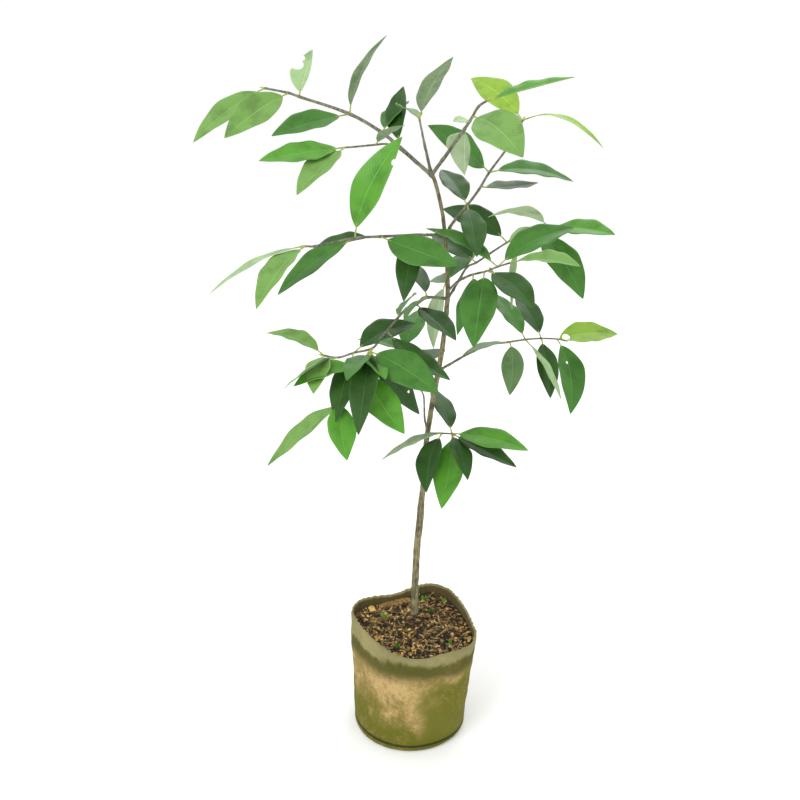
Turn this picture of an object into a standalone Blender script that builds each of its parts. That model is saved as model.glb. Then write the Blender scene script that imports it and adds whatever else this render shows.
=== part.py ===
"""A young potted garcinia oblongifolia: a thin leaning trunk in a felt grow bag, with ten leafy shoots.

Metres, +Z up. The origin is the middle of the bag's flat underside, +X is right and +Y is back.
Places and reaches of the plant are written in millimetres as (right, back, up).
"""
import math
import random
from typing import NamedTuple

import bmesh
import bpy
from mathutils import Vector
from mathutils.bvhtree import BVHTree
from mathutils.geometry import interpolate_bezier

MM = 0.001
GAP = 0.3
UP = Vector((0, 0, 1))

# Grow bag
BAG_HEIGHT = 137
BAG_RIM = ((32, 73), (-16, 56), (-69, 30), (-55, -22), (-8, -71), (32, -64), (69, -40), (62, 24))
BAG_FOOT_MIDDLE = -3
BAG_FOOT_RADII = (65, 61)
BAG_FOOT_EDGE = 5
FELT = 3.5
BAG_SEGMENTS = 32

# Soil
SOIL_EDGE = 123
MOUND = 4
SOIL_LUMP = 1.6
STEM_SPOT = 11

# Trunk: its way up with its radius at each stop
TRUNK_WAY = (
    (2, 12, SOIL_EDGE + MOUND + GAP, 7.5),
    (2, 12, 131, 6.2),
    (2.5, 12, 140, 4.6),
    (3, 12, 171, 4.1),
    (5, 11, 227, 3.7),
    (8.5, 9, 268, 3.9),
    (9, 9, 281, 3.6),
    (11, 8, 305, 2.9),
    (14, 7, 358, 2.8),
    (21, 6, 411, 2.7),
    (27, 5, 448, 2.6),
    (32, 5, 496, 2.4),
    (33, 5, 530, 2.2),
    (28, 8, 590, 1.8),
    (20, 10, 625, 1.8),
    (15, 10, 637, 1.9),
)
TRUNK_STEP = 9
TRUNK_SIDES = 10

# Leaf build
PETIOLE_RADIUS = 0.75
LEAF_THICKNESS = 1.2
LEAF_FOLD = 14
LEAF_FOLD_SPREAD = 8
LEAF_STATIONS = (0.1, 0.28, 0.48, 0.68, 0.86)
ROOT_DEPTH = 1.2
SHOOT_STEP = 11
NUDGES = (0, 5, -5, 10, -10, 16, -16, 24, -24)


class Leaf(NamedTuple):
    """One leaf: the stop of its shoot, where its tip lies from its foot, its width and how its face leans.

    front and side lean the upper face to the viewer's side and to the right, 1 being 45 degrees.
    arch is the rise of the midrib over the straight line and stalk the stalk's stretch, as shares of the
    leaf's length. bow is how far the middle of the midrib is pushed past that rise, in millimetres, and
    halves widen or narrow the halves of the blade, the left one of a leaf that points away first.
    """

    at: float
    reach: tuple
    wide: float
    front: float = 0.0
    tone: str = "mid"
    side: float = 0.0
    arch: float = 0.05
    bow: tuple = (0, 0, 0)
    halves: tuple = (1, 1)
    stalk: float = 0.11


class Shoot(NamedTuple):
    """One leafy shoot: its way out from the trunk's middle, its thickness and its leaves.

    Up to the stop named bare it is a bough, and past that the stem of a mass of foliage.
    """

    name: str
    way: tuple
    thick: tuple
    bare: float
    leaves: tuple
    parent: str = "trunk"
    twigs: tuple = ()


SHOOTS = (
    Shoot(
        "crown_left",
        ((16, 10, 633), (-14, 22, 657), (-31, 30, 670), (-62, 42, 686), (-112, 58, 701), (-122, 62, 704),
         (-146, 70, 708)),
        (2.0, 1.0),
        0.8,
        (
            Leaf(6, (-66, -39, -47), 27, 0.7, "light"),
            Leaf(5, (-56, -52, -37), 34, 1.6, "light", arch=0.04),
            Leaf(4, (11, 44, 42), 34, 0.2, "pale", arch=0, halves=(0.9, 0.25)),
            Leaf(3, (36, -39, 70), 19, 0.2, "dull", arch=0.04, bow=(-4, 0, 1)),
            Leaf(3, (-69, -53, -15), 30, 0.7, "mid", arch=0.02, stalk=0.16),
            Leaf(2, (26, 60, 25), 26, -0.5, "mid"),
            Leaf(1.1, (5, 59, 51), 28, -0.9, "dark", halves=(1, 0.6)),
        ),
        twigs=(
            Shoot(
                "side",
                ((-14, 22, 657), (-27, 16, 661), (-37, 10, 661), (-59, 0, 660), (-65, -3, 660)),
                (1.1, 0.8),
                0,
                (
                    Leaf(2, (27, -39, 21), 18, 0.0, "dull"),
                    Leaf(4, (-74, -39, -7), 30, 0.6, "bright", arch=0.01),
                    Leaf(4, (-39, -64, -33), 30, 0.1, "light", arch=0.03),
                ),
            ),
        ),
    ),
    Shoot(
        "crown_tip",
        ((15, 10, 637), (9, 9, 661), (4, 8, 684)),
        (1.5, 0.9),
        1.6,
        (
            Leaf(2, (27, -52, 55), 28, 0.3, "dull", arch=0.08),
            Leaf(2, (-21, 64, 9), 26, -0.6, "mid"),
        ),
    ),
    Shoot(
        "crown_right",
        ((15, 10, 632), (26, 0, 649), (44, -20, 678), (48, -25, 685), (55, -32, 698), (61, -38, 703)),
        (1.8, 1.0),
        1.7,
        (
            Leaf(5, (79, 19, 19), 27, 0.1, "bright", arch=0.005),
            Leaf(3.3, (37, -74, -26), 40, 1.6, "light", arch=0.08),
            Leaf(3, (-16, -22, 2), 10, 1.0, "pale"),
            Leaf(2, (4, 40, -46), 28, 0.6, "pale", halves=(1.4, 0.35)),
        ),
    ),
    Shoot(
        "back_right",
        ((31, 7, 572), (34, 10, 583), (40, 18, 590), (52, 32, 601), (64, 45, 614), (75, 58, 629), (93, 74, 650),
         (110, 90, 676)),
        (1.6, 1.0),
        2.6,
        (
            Leaf(3, (-23, 70, 25), 28, 0.1, "dark"),
            Leaf(3, (5, -72, -35), 28, -0.6, "dark", halves=(1, 0.8)),
            Leaf(4.2, (64, 47, -3), 28, 0.2, "dark", arch=-0.04),
            Leaf(5, (-63, -42, 49), 32, 1.3, "mid", arch=0.03),
            Leaf(5, (89, 22, -12), 30, 0.4, "mid", arch=0.08),
            Leaf(7, (-49, 60, 38), 32, 1.6, "lime", arch=0.08),
            Leaf(7, (71, -58, -20), 12, 0.1, "lime", arch=0.16),
        ),
    ),
    Shoot(
        "front_left",
        ((28, 7, 577), (2, -8, 580), (-32, -30, 583), (-55, -46, 585), (-90, -72, 583), (-97, -76, 584)),
        (1.5, 0.9),
        0.9,
        (
            Leaf(1.2, (-6, -64, -47), 24, -0.6, "dark", bow=(2, 0, 0)),
            Leaf(2, (69, -56, -14), 34, 1.0, "mid", arch=-0.01),
            Leaf(2.2, (-74, 23, -28), 28, 0.3, "dark"),
            Leaf(3, (43, 9, 88), 33, 0.6, "bright", arch=0.08, bow=(-1, 0, 0)),
            Leaf(3, (-70, -23, -47), 30, 0.3, "mid"),
            Leaf(5, (-80, -38, -33), 20, -0.1, "pale", arch=0.075),
            Leaf(5, (-36, -66, -38), 30, -0.2, "light", arch=0.08),
        ),
    ),
    Shoot(
        "low_left",
        ((31, 5, 514), (13, -2, 517), (2, -12, 513), (-9, -22, 510), (-17, -32, 504), (-33, -52, 490),
         (-40, -60, 484), (-57, -64, 481), (-72, -66, 477), (-85, -66, 479)),
        (1.5, 0.9),
        0.6,
        (
            Leaf(1, (-23, 66, 26), 26, -0.8, "dark"),
            Leaf(1, (-23, -62, -5), 20, -1.7, "mid"),
            Leaf(2, (35, -70, -14), 28, 0.0, "dark", arch=0),
            Leaf(4, (20, 60, 9), 20, -2.0, "mid"),
            Leaf(4.6, (58, -57, -28), 30, 0.0, "dark", arch=-0.05),
            Leaf(5.2, (19, 54, -8), 24, 0.2, "dark"),
            Leaf(6, (-10, -68, -48), 28, -0.7, "dark"),
            Leaf(6.2, (48, 22, -65), 30, 0.5, "dark", arch=-0.01),
            Leaf(7, (59, 59, 10), 31, 0.4, "dark", arch=0.08),
            Leaf(7, (-14, -66, -42), 26, -0.6, "dark"),
            Leaf(8, (-44, -61, -8), 24, -1.2, "pale"),
            Leaf(9, (-57, 31, 12), 24, 0.1, "light", arch=0.09),
            Leaf(9, (-6, -52, -18), 24, -0.8, "light", arch=0.1),
        ),
    ),
    Shoot(
        "young_left",
        ((-40, -60, 484), (-43, -64, 481), (-49, -78, 473), (-57, -94, 461), (-65, -108, 450)),
        (1.3, 1.0),
        0,
        (
            Leaf(0.7, (63, -54, -23), 36, 0.9, "mid"),
            Leaf(1.1, (-17, -57, -5), 24, -0.6, "mid"),
            Leaf(1.5, (19, -61, -6), 24, -0.8, "bright"),
            Leaf(2, (39, -62, -41), 34, 0.3, "bright", arch=-0.03, bow=(-2, 0, -1)),
            Leaf(2, (-60, -58, -7), 30, 0.1, "bright"),
            Leaf(4, (-71, -8, -61), 27, 0.2, "light", arch=0.02),
            Leaf(4, (5, -68, -38), 28, -0.7, "bright", bow=(-4, 0, 0)),
        ),
        parent="low_left",
    ),
    Shoot(
        "low_right",
        ((29, 5, 440), (35, 7, 443), (62, 30, 450), (82, 44, 453), (102, 58, 451), (122, 70, 450), (141, 80, 448),
         (160, 90, 444), (169, 94, 441)),
        (1.4, 0.8),
        3.5,
        (
            Leaf(4, (-52, -48, 2), 16, -0.1, "dull"),
            Leaf(4.1, (-4, -50, -42), 24, -0.6, "dull", bow=(3, 0, 0)),
            Leaf(5, (32, -62, -46), 22, -0.7, "pale"),
            Leaf(5, (-33, 62, 37), 28, -0.2, "mid"),
            Leaf(6, (-22, 65, 34), 28, -0.1, "dark"),
            Leaf(6, (5, -52, -50), 26, -0.6, "dark"),
            Leaf(7, (9, -60, -65), 32, -0.4, "mid", bow=(6, 0, 0)),
            Leaf(7.1, (73, 28, -3), 32, 0.6, "lime", stalk=0.03),
        ),
    ),
    Shoot(
        "lowest",
        ((16, 6.5, 367), (29, 0, 370), (40, -8, 373)),
        (1.1, 0.8),
        0,
        (
            Leaf(1, (-62, -33, -15), 22, -1.2, "dull"),
            Leaf(1.1, (-18, -62, -37), 28, -0.6, "dark", bow=(-4, 0, 0)),
            Leaf(2, (-13, -66, -52), 34, -0.6, "bright", bow=(3, 0, 0)),
            Leaf(2, (13, -58, -24), 24, -0.8, "dark"),
            Leaf(2, (62, -48, -15), 28, 0.1, "dark", arch=0),
            Leaf(2, (73, -45, 2), 32, 0.3, "bright"),
            Leaf(2, (-19, 70, 25), 28, -1.0, "dark"),
        ),
    ),
    Shoot(
        "low_back",
        ((14, 7, 372), (12, 13, 382), (11, 25, 402), (8, 28, 408), (-1, 45, 424), (-11, 62, 440)),
        (1.0, 0.7),
        2,
        (
            Leaf(4, (38, 62, 2), 28, 0.0, "dark"),
            Leaf(5, (-52, 58, -6), 28, 0.0, "mid"),
            Leaf(5, (22, 72, 26), 28, 0.0, "mid"),
        ),
    ),
    Shoot(
        "front_right",
        ((33, 5, 522), (42, 0, 532), (47, -6, 537), (54, -12, 542), (61, -20, 546), (68, -28, 550), (77, -36, 556),
         (87, -46, 562)),
        (1.3, 0.8),
        2.2,
        (
            Leaf(3.3, (-18, -62, -41), 26, -0.9, "mid", bow=(4, 0, 0)),
            Leaf(4.7, (-14, -68, -53), 37, -0.5, "mid", bow=(1, 0, 0)),
            Leaf(5, (36, -68, -17), 30, 0.5, "dark", bow=(2, 0, 0)),
            Leaf(5.2, (20, 43, -30), 22, 0.8, "dark"),
            Leaf(6, (-66, 44, 27), 28, 0.1, "mid"),
            Leaf(6, (77, 42, 28), 32, 0.5, "mid", arch=0.08),
            Leaf(7, (53, -59, 11), 28, 0.3, "light"),
        ),
    ),
    Shoot(
        "middle_right",
        ((33, 5, 513), (39, 9, 522), (45, 14, 531), (53, 21, 542), (62, 26, 545), (77, 34, 553), (94, 42, 562),
         (108, 50, 567), (124, 58, 570), (139, 64, 573)),
        (1.3, 0.8),
        3.4,
        (
            Leaf(4, (-43, 62, 16), 30, 0.6, "dark"),
            Leaf(6, (-63, 56, 24), 30, 1.0, "dark", arch=0.1),
            Leaf(6, (23, -20, 19), 12, 0.9, "pale"),
            Leaf(7, (-12, -56, -61), 14, -0.8, "pale"),
            Leaf(8, (41, -66, -53), 34, 0.8, "mid", bow=(3, 0, 0)),
            Leaf(9, (-67, -36, 17), 24, -0.6, "pale", arch=0.14),
            Leaf(9, (53, -66, 6), 30, 0.6, "bright", arch=0.03),
        ),
    ),
    Shoot(
        "inner_back",
        ((33, 5, 518), (35, 20, 523), (33, 40, 521)),
        (0.9, 0.7),
        0,
        (
            Leaf(1.6, (-18, 50, -12), 22, 0.9, "dull"),
            Leaf(2, (-13, -30, -61), 22, -0.8, "pale"),
            Leaf(2, (34, 60, 20), 26, 0.0, "mid"),
        ),
    ),
)

LEAF_COLOUR = (0.07, 0.20, 0.05)
BARK_COLOUR = (0.16, 0.13, 0.08)
FELT_COLOUR = (0.34, 0.31, 0.22)
SOIL_COLOUR = (0.09, 0.06, 0.04)


def finish(name, colour, roughness):
    """A plain material: a colour and a roughness, with nothing metallic."""
    material = bpy.data.materials.new(name)
    material.use_nodes = True
    shader = material.node_tree.nodes["Principled BSDF"]
    shader.inputs["Base Color"].default_value = (*colour, 1)
    shader.inputs["Roughness"].default_value = roughness
    shader.inputs["Metallic"].default_value = 0
    return material


def smooth_way(stops, parts=8):
    """A smooth curve through the stops, each segment a Bezier piece whose handles follow its neighbours."""
    stops = [Vector(stop) for stop in stops]
    ends = [2 * stops[0] - stops[1], *stops, 2 * stops[-1] - stops[-2]]
    points = [stops[0]]
    for before, start, stop, after in zip(ends, ends[1:], ends[2:], ends[3:]):
        reach = (stop - start).length / 3
        leave = (stop - before).normalized() * reach
        arrive = (after - start).normalized() * reach
        points += interpolate_bezier(start, start + leave, stop - arrive, stop, parts + 1)[1:]
    return points


def point_at(points, at, parts=8):
    """The point and heading of a smooth way at a stop number, which may lie between two stops."""
    place = min(at * parts, len(points) - 1)
    index = min(int(place), len(points) - 2)
    start, stop = points[index], points[index + 1]
    return start.lerp(stop, place - index), (stop - start).normalized()


def thinned(points, step):
    """Points spaced about one step apart along the way, with both ends kept."""
    kept = [points[0]]
    for point in points[1:-1]:
        if (point - kept[-1]).length >= step and (point - points[-1]).length >= step / 2:
            kept.append(point)
    return [*kept, points[-1]]


def tube(name, points, radii, resolution):
    """A closed tube along the points in millimetres, as a mesh with welded caps."""
    curve = bpy.data.curves.new(name, "CURVE")
    curve.dimensions = "3D"
    curve.bevel_depth = MM
    curve.bevel_resolution = resolution
    curve.use_fill_caps = True
    spline = curve.splines.new("POLY")
    spline.points.add(len(points) - 1)
    for knot, point, radius in zip(spline.points, points, radii):
        knot.co = (*(Vector(point) * MM), 1)
        knot.radius = radius
    guide = bpy.data.objects.new(name + "_guide", curve)
    bpy.context.scene.collection.objects.link(guide)
    bpy.context.view_layer.update()
    mesh = bpy.data.meshes.new_from_object(guide.evaluated_get(bpy.context.evaluated_depsgraph_get()))
    bpy.data.objects.remove(guide)
    shape = bmesh.new()
    shape.from_mesh(mesh)
    bmesh.ops.remove_doubles(shape, verts=shape.verts, dist=0.00002)
    bmesh.ops.recalc_face_normals(shape, faces=shape.faces)
    shape.to_mesh(mesh)
    shape.free()
    mesh.name = name
    return bpy.data.objects.new(name, mesh)


def loft(name, rings, first=None, last=None):
    """A closed skin over rings of equal count, in millimetres, each end capped by a point or by a face."""
    shape = bmesh.new()
    rows = [[shape.verts.new(Vector(point) * MM) for point in ring] for ring in rings]
    count = len(rows[0])
    for lower, upper in zip(rows, rows[1:]):
        for i in range(count):
            j = (i + 1) % count
            shape.faces.new((lower[i], lower[j], upper[j], upper[i]))
    for row, point, turn in ((rows[0], first, 1), (rows[-1], last, -1)):
        if point is None:
            shape.faces.new(row[::-turn])
            continue
        peak = shape.verts.new(Vector(point) * MM)
        for i in range(count):
            edge = (row[i], row[(i + 1) % count])
            shape.faces.new((*edge[::-turn], peak))
    bmesh.ops.recalc_face_normals(shape, faces=shape.faces)
    mesh = bpy.data.meshes.new(name)
    shape.to_mesh(mesh)
    shape.free()
    return bpy.data.objects.new(name, mesh)


def blade_share(t):
    """Half the blade's width at a share t of its length, 1 at its widest."""
    return math.sin(math.pi * t**0.92) ** 0.9


def leaf_frame(leaf, foot):
    """The midrib of a leaf as a function of 0 to 1, and the direction that its upper face looks in."""
    reach = Vector(leaf.reach)
    along = reach.normalized()
    face = Vector((leaf.side, -leaf.front, 1))
    face = (face - face.dot(along) * along).normalized()
    rise = UP - UP.dot(along) * along
    bend = foot + reach * 0.42 + (rise + face * 0.4).normalized() * reach.length * leaf.arch * 2
    bend += Vector(leaf.bow) * 2

    def rib(t):
        return foot * (1 - t) ** 2 + bend * 2 * t * (1 - t) + (foot + reach) * t**2

    return rib, face


def leaf_solid(name, leaf, foot, chance):
    """A leaf with its stalk: one thin folded blade that narrows to a stalk sunk in the shoot."""
    rib, face = leaf_frame(leaf, foot)
    fold = math.radians(LEAF_FOLD + chance.uniform(-1, 1) * LEAF_FOLD_SPREAD)
    rings = []
    shares = [(0, PETIOLE_RADIUS), (leaf.stalk, PETIOLE_RADIUS)]
    shares += [(leaf.stalk + (1 - leaf.stalk) * t, leaf.wide / 2 * blade_share(t)) for t in LEAF_STATIONS]
    for t, half in shares:
        heading = (rib(t + 0.01) - rib(t - 0.01)).normalized()
        across = heading.cross(face).normalized()
        above = across.cross(heading)
        out = across * half * math.cos(fold) + above * half * math.sin(fold)
        back = out - across * half * math.cos(fold) * 2
        if half <= PETIOLE_RADIUS:
            out, back = across * half, -across * half
        else:
            out, back = out * leaf.halves[1], back * leaf.halves[0]
        thick = above * LEAF_THICKNESS / 2
        middle = rib(t) if t else foot - heading * ROOT_DEPTH
        rings.append((middle + back, middle - thick, middle + out, middle + thick))
    return loft(name, rings, last=rib(1))


def link_part(part, material, collection):
    """Puts a finished part in the plant's collection, in its material and shaded smooth over soft edges."""
    part.data.materials.clear()
    part.data.materials.append(material)
    part.data.shade_smooth()
    part.data.set_sharp_from_angle(angle=math.radians(40))
    collection.objects.link(part)


def fused(stem, pieces, solver):
    """The stem and the pieces joined into one closed body by a Boolean union, the pieces then removed."""
    bench = bpy.data.collections.new("bench")
    bpy.context.scene.collection.children.link(bench)
    holder = bpy.data.collections.new("holder")
    bpy.context.scene.collection.children.link(holder)
    holder.objects.link(stem)
    for piece in pieces:
        bench.objects.link(piece)
    union = stem.modifiers.new("union", "BOOLEAN")
    union.operation = "UNION"
    union.operand_type = "COLLECTION"
    union.collection = bench
    union.solver = solver
    bpy.context.view_layer.update()
    mesh = bpy.data.meshes.new_from_object(stem.evaluated_get(bpy.context.evaluated_depsgraph_get()))
    name = stem.name
    for thing in (*pieces, stem):
        bpy.data.objects.remove(thing)
    body = bpy.data.objects.new(name, mesh)
    for collection in (bench, holder):
        bpy.data.collections.remove(collection)
    return body


def drop_scraps(body):
    """Keeps the largest connected piece of a body and welds slivers away."""
    shape = bmesh.new()
    shape.from_mesh(body.data)
    bmesh.ops.triangulate(shape, faces=shape.faces)
    left, islands = set(shape.verts), []
    while left:
        island, edge = set(), [left.pop()]
        while edge:
            vert = edge.pop()
            island.add(vert)
            for other in (link.other_vert(vert) for link in vert.link_edges):
                if other in left:
                    left.remove(other)
                    edge.append(other)
        islands.append(island)
    largest = max(islands, key=len)
    bmesh.ops.delete(shape, geom=[v for v in shape.verts if v not in largest], context="VERTS")
    shape.to_mesh(body.data)
    shape.free()


def bag_ring(height, inset=0.0):
    """The bag's outline at a height: the round foot below, turning into the floppy rim with its soft corners."""
    closed = [*BAG_RIM, *BAG_RIM[:3]]
    rim = smooth_way([(x, y, 0) for x, y in closed])[8:-8 * 1 - 1]
    share = min(max(height / BAG_HEIGHT, 0), 1) ** 0.8
    ring = []
    for i in range(BAG_SEGMENTS):
        angle = math.tau * i / BAG_SEGMENTS
        heading = Vector((math.cos(angle), math.sin(angle), 0))
        nearest = max(rim, key=lambda p: p.normalized().dot(heading))
        foot = Vector((heading.x * BAG_FOOT_RADII[0], heading.y * BAG_FOOT_RADII[1], 0))
        reach = foot.length * (1 - share) + nearest.length * share
        shift = Vector((BAG_FOOT_MIDDLE * (1 - share), 0, 0))
        ring.append(heading * (reach - inset) + shift + UP * height)
    return ring


def scaled_ring(ring, share, centre, height):
    """A ring drawn in to a share of its size about a centre, at a height."""
    return [Vector((*(centre.lerp(point, share).xy), height)) for point in ring]


def grow_bag(collection):
    """The felt bag: an open shell with a flat underside and a limp four cornered rim."""
    middle = Vector((0, 0, 0))
    foot = bag_ring(0, BAG_FOOT_EDGE)
    rings = [scaled_ring(foot, 0.5, middle, 0), foot, bag_ring(1.5, 1.2), bag_ring(BAG_FOOT_EDGE)]
    rings += [bag_ring(BAG_HEIGHT * share) for share in (0.2, 0.4, 0.6, 0.8, 1)]
    bag = loft("grow_bag", rings, first=middle)
    shape = bmesh.new()
    shape.from_mesh(bag.data)
    lid = [face for face in shape.faces if len(face.verts) > 4]
    bmesh.ops.delete(shape, geom=lid, context="FACES_ONLY")
    shape.to_mesh(bag.data)
    shape.free()
    wall = bag.modifiers.new("felt", "SOLIDIFY")
    wall.thickness = FELT * MM
    wall.offset = -1
    wall.use_even_offset = True
    link_part(bag, finish("felt", FELT_COLOUR, 0.95), collection)


def soil(collection):
    """The soil that fills the bag, lumpy on top, with a low mound and a level spot under the trunk."""
    chance = random.Random(11)
    inset = FELT + GAP + 0.5
    middle, stem = Vector((0, 0, 0)), Vector((*TRUNK_WAY[0][:2], 0))
    floor = bag_ring(BAG_FOOT_EDGE, BAG_FOOT_EDGE + inset)
    rings = [scaled_ring(floor, 1, middle, FELT + GAP)]
    rings += [bag_ring(height, inset) for height in (12, 50, 90)]
    top = bag_ring(SOIL_EDGE, inset)
    rings.append(top)
    for share in (0.84, 0.6, 0.38):
        level = SOIL_EDGE + MOUND * (1 - share) ** 1.5
        ring = scaled_ring(top, share, stem, level)
        rings.append([point + UP * chance.uniform(-1, 1) * SOIL_LUMP for point in ring])
    spot = [stem + (point - stem).normalized() * STEM_SPOT for point in scaled_ring(top, 1, stem, 0)]
    rings.append([Vector((*point.xy, SOIL_EDGE + MOUND)) for point in spot])
    body = loft("soil", rings)
    link_part(body, finish("soil", SOIL_COLOUR, 0.95), collection)


def trunk(collection):
    """The trunk from its level cut on the soil, flared at its foot, leaning right and back to the fork."""
    points = smooth_way([stop[:3] for stop in TRUNK_WAY])
    widths = smooth_way([(stop[3], 0, i * 10) for i, stop in enumerate(TRUNK_WAY)])
    pairs = {tuple(point): width.x for point, width in zip(points, widths)}
    line = thinned(points, TRUNK_STEP)
    for extra in (points[8], points[16]):
        if extra not in line:
            line.append(extra)
    line.sort(key=lambda point: point.z)
    body = tube("trunk", line, [pairs[tuple(point)] for point in line], TRUNK_SIDES // 2 - 2)
    link_part(body, finish("trunk bark", BARK_COLOUR, 0.85), collection)
    return body


def trunk_radius(height):
    """The trunk's radius at a height."""
    for lower, upper in zip(TRUNK_WAY, TRUNK_WAY[1:]):
        if height <= upper[2]:
            share = (height - lower[2]) / (upper[2] - lower[2])
            return lower[3] + (upper[3] - lower[3]) * share
    return TRUNK_WAY[-1][3]


def cut_way(points, start, stop, parts=8):
    """The stretch of a way between two stop numbers."""
    first, last = point_at(points, start)[0], point_at(points, stop)[0]
    inner = [p for i, p in enumerate(points) if start * parts + 0.2 < i < stop * parts - 0.2]
    return [first, *inner, last]


def set_off(points, distance):
    """A way without its first stretch of the given length."""
    points = list(points)
    while len(points) > 2 and (points[1] - points[0]).length <= distance:
        distance -= (points[1] - points[0]).length
        points.pop(0)
    heading = (points[1] - points[0]).normalized()
    return [points[0] + heading * distance, *points[1:]]


def shoot_tube(name, points, thick):
    """A tapering stem along a way, four sided on a thin shoot."""
    line = thinned(points, SHOOT_STEP)
    count = len(line) - 1
    radii = [thick[0] + (thick[1] - thick[0]) * i / count for i in range(count + 1)]
    return tube(name, line, radii, 0)


def touch_tree(thing):
    """A search tree of a solid's faces, which tells what else they touch."""
    mesh = thing.data
    return BVHTree.FromPolygons([v.co for v in mesh.vertices], [tuple(face.vertices) for face in mesh.polygons])


def clear_leaf(name, leaf, foot, chance, taken):
    """A leaf solid, its tip nudged forward or back past what is in its way, or None where nothing clears it."""
    turn = chance.random()
    for nudge in NUDGES:
        right, back, up = leaf.reach
        piece = leaf_solid(name, leaf._replace(reach=(right, back + nudge, up)), foot, random.Random(turn))
        if not any(touch_tree(piece).overlap(tree) for tree in taken):
            return piece
        bpy.data.objects.remove(piece)
    return None


def shoot_parts(shoot, base, chance, taken):
    """The leaves and side twigs of a shoot, as loose closed solids that keep clear of what is taken."""
    points = smooth_way(shoot.way)
    parts = []
    for i, leaf in enumerate(shoot.leaves):
        foot = point_at(points, leaf.at)[0]
        parts.append(clear_leaf(f"{base}_leaf_{i}", leaf, foot, chance, taken))
    for twig in shoot.twigs:
        parts.append(shoot_tube(f"{base}_{twig.name}", smooth_way(twig.way), twig.thick))
        parts += shoot_parts(twig, f"{base}_{twig.name}", chance, taken)
    return [part for part in parts if part]


def limb(shoot, collection, bark):
    """A shoot's bough up to its first leaves, and the stem of its mass of foliage, each clear of the last."""
    points = smooth_way(shoot.way)
    heading = (points[1] - points[0]).normalized()
    parent_radius = trunk_radius(shoot.way[0][2]) if shoot.parent == "trunk" else 1.2
    clear = parent_radius + GAP * 2 + shoot.thick[0] * abs(heading.z)
    clear /= max(math.sqrt(1 - heading.z**2), 0.35)
    if shoot.name == "crown_tip":
        clear = GAP
    stops = len(shoot.way) - 1
    middle = shoot.thick[0] + (shoot.thick[1] - shoot.thick[0]) * shoot.bare / stops
    limbs = []
    if shoot.bare:
        way = set_off(cut_way(points, 0, shoot.bare), clear)
        bough = shoot_tube("bough_" + shoot.name, way, (shoot.thick[0], middle))
        link_part(bough, bark, collection)
        limbs.append(bough)
        clear = GAP
    stem = shoot_tube("foliage_" + shoot.name, set_off(cut_way(points, shoot.bare, stops), clear),
                      (middle, shoot.thick[1]))
    return limbs, stem


def grow(shoots, trunk_body, collection):
    """Every shoot: first all boughs and stems, then each stem's leaves, fused into one solid a mass."""
    bark = finish("bough bark", BARK_COLOUR, 0.8)
    green = finish("leaves", LEAF_COLOUR, 0.45)
    woods, stems = [touch_tree(trunk_body)], {}
    for shoot in shoots:
        limbs, stems[shoot.name] = limb(shoot, collection, bark)
        woods += [touch_tree(bough) for bough in limbs]
    trees = {name: touch_tree(stem) for name, stem in stems.items()}
    for shoot in shoots:
        chance = random.Random("leaves of " + shoot.name)
        taken = woods + [tree for name, tree in trees.items() if name != shoot.name]
        mass = fused(stems[shoot.name], shoot_parts(shoot, shoot.name, chance, taken), "MANIFOLD")
        drop_scraps(mass)
        trees[shoot.name] = touch_tree(mass)
        link_part(mass, green, collection)


def build():
    """The whole plant: bag, soil, trunk, boughs and masses of foliage."""
    for thing in list(bpy.data.objects):
        bpy.data.objects.remove(thing)
    plant = bpy.data.collections.new("potted_garcinia")
    bpy.context.scene.collection.children.link(plant)
    grow_bag(plant)
    soil(plant)
    grow(SHOOTS, trunk(plant), plant)


build()
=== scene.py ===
"""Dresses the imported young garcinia: leaves, twigs, barked trunk, felt bag and mulch, lit in a plain studio.

Places and reaches of the plant are in millimetres as (right, back, up), as the part's source has them.
The studio and the patterns of the materials are in metres.
"""
import math
import random
from typing import NamedTuple

import bmesh
import bpy
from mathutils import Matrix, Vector, noise
from mathutils.bvhtree import BVHTree
from mathutils.geometry import interpolate_bezier


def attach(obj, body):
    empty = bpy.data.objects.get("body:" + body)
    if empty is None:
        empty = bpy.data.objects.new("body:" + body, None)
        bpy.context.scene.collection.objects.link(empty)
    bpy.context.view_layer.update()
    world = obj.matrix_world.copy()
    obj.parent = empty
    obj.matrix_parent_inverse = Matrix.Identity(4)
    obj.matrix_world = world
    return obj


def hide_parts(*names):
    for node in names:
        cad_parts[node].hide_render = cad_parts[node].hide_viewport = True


MM = 0.001
UP = Vector((0, 0, 1))
MERGE = 0.00002
SLIVER = 0.000001

# Camera, floor and light
EYE = (-0.014, -0.860, 0.755)
PITCH = 22
LENS = 40.5
SENSOR = 36
NEAREST = 0.01
FLOOR_SIZE = 12
FLOOR_WHITE = (0.98, 0.98, 0.975, 1)
SKY_STRENGTH = 1.02
LAMP_AIM = (0, 0, 0.4)
# Each lamp: its name, place, size and power
LAMPS = (
    ("key", (-1.4, -1.6, 2.2), 1.4, 30),
    ("fill", (1.8, -1.0, 1.4), 1.6, 7),
    ("back", (0.6, 1.8, 1.9), 1.2, 9),
)

# Grow bag
BAG_HEIGHT = 137
BAG_RIM = ((32, 73), (-16, 56), (-69, 30), (-55, -22), (-8, -71), (32, -64), (69, -40), (62, 24))
BAG_FOOT_MIDDLE = -3
BAG_FOOT_RADII = (65, 61)
BAG_SIDES = 160
BAG_WALL_ROWS = 28
BAG_SLACK = 0.6
DENTS_FROM = 8
DENTS_RISE = 20
RIM_DROOP = 1.6
# Each kind of dent: its scale and depth
BAG_DENTS = ((0.024, 2.2), (0.09, 0.7))
FELT = 1.7
SEAM_HEIGHT = 8.5
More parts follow.
